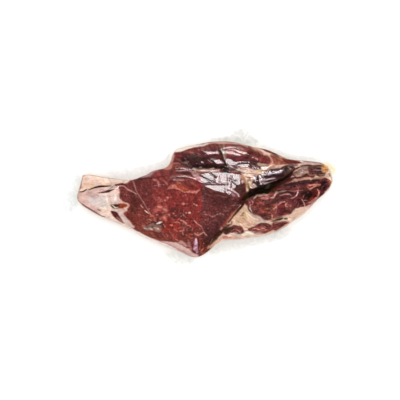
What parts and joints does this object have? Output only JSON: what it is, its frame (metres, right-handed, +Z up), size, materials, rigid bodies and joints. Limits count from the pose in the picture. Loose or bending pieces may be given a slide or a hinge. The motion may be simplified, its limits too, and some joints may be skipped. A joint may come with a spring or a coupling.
{
  "type": "boneless dry-cured ham in vacuum film",
  "caption": "Whole boneless dry-cured ham, vacuum packed in clear shrink film, lying on its fat side with the lean muscles and the shank end showing.",
  "frame": {"origin": "on the table under the middle of the film's outline", "axes": "+X from the shank end to the rump end, +Y towards the top muscle's edge, +Z up out of the lean face"},
  "size_m": [0.5862, 0.294, 0.0912],
  "materials": {
    "cured_meat": "dark red cured lean with cream fat, seen wet and glossy through tight film",
    "film": "clear wrinkled shrink film with sharp highlights"
  },
  "bodies": {
    "root": {"packed_ham": "cured_meat"}
  },
  "joints": []
}
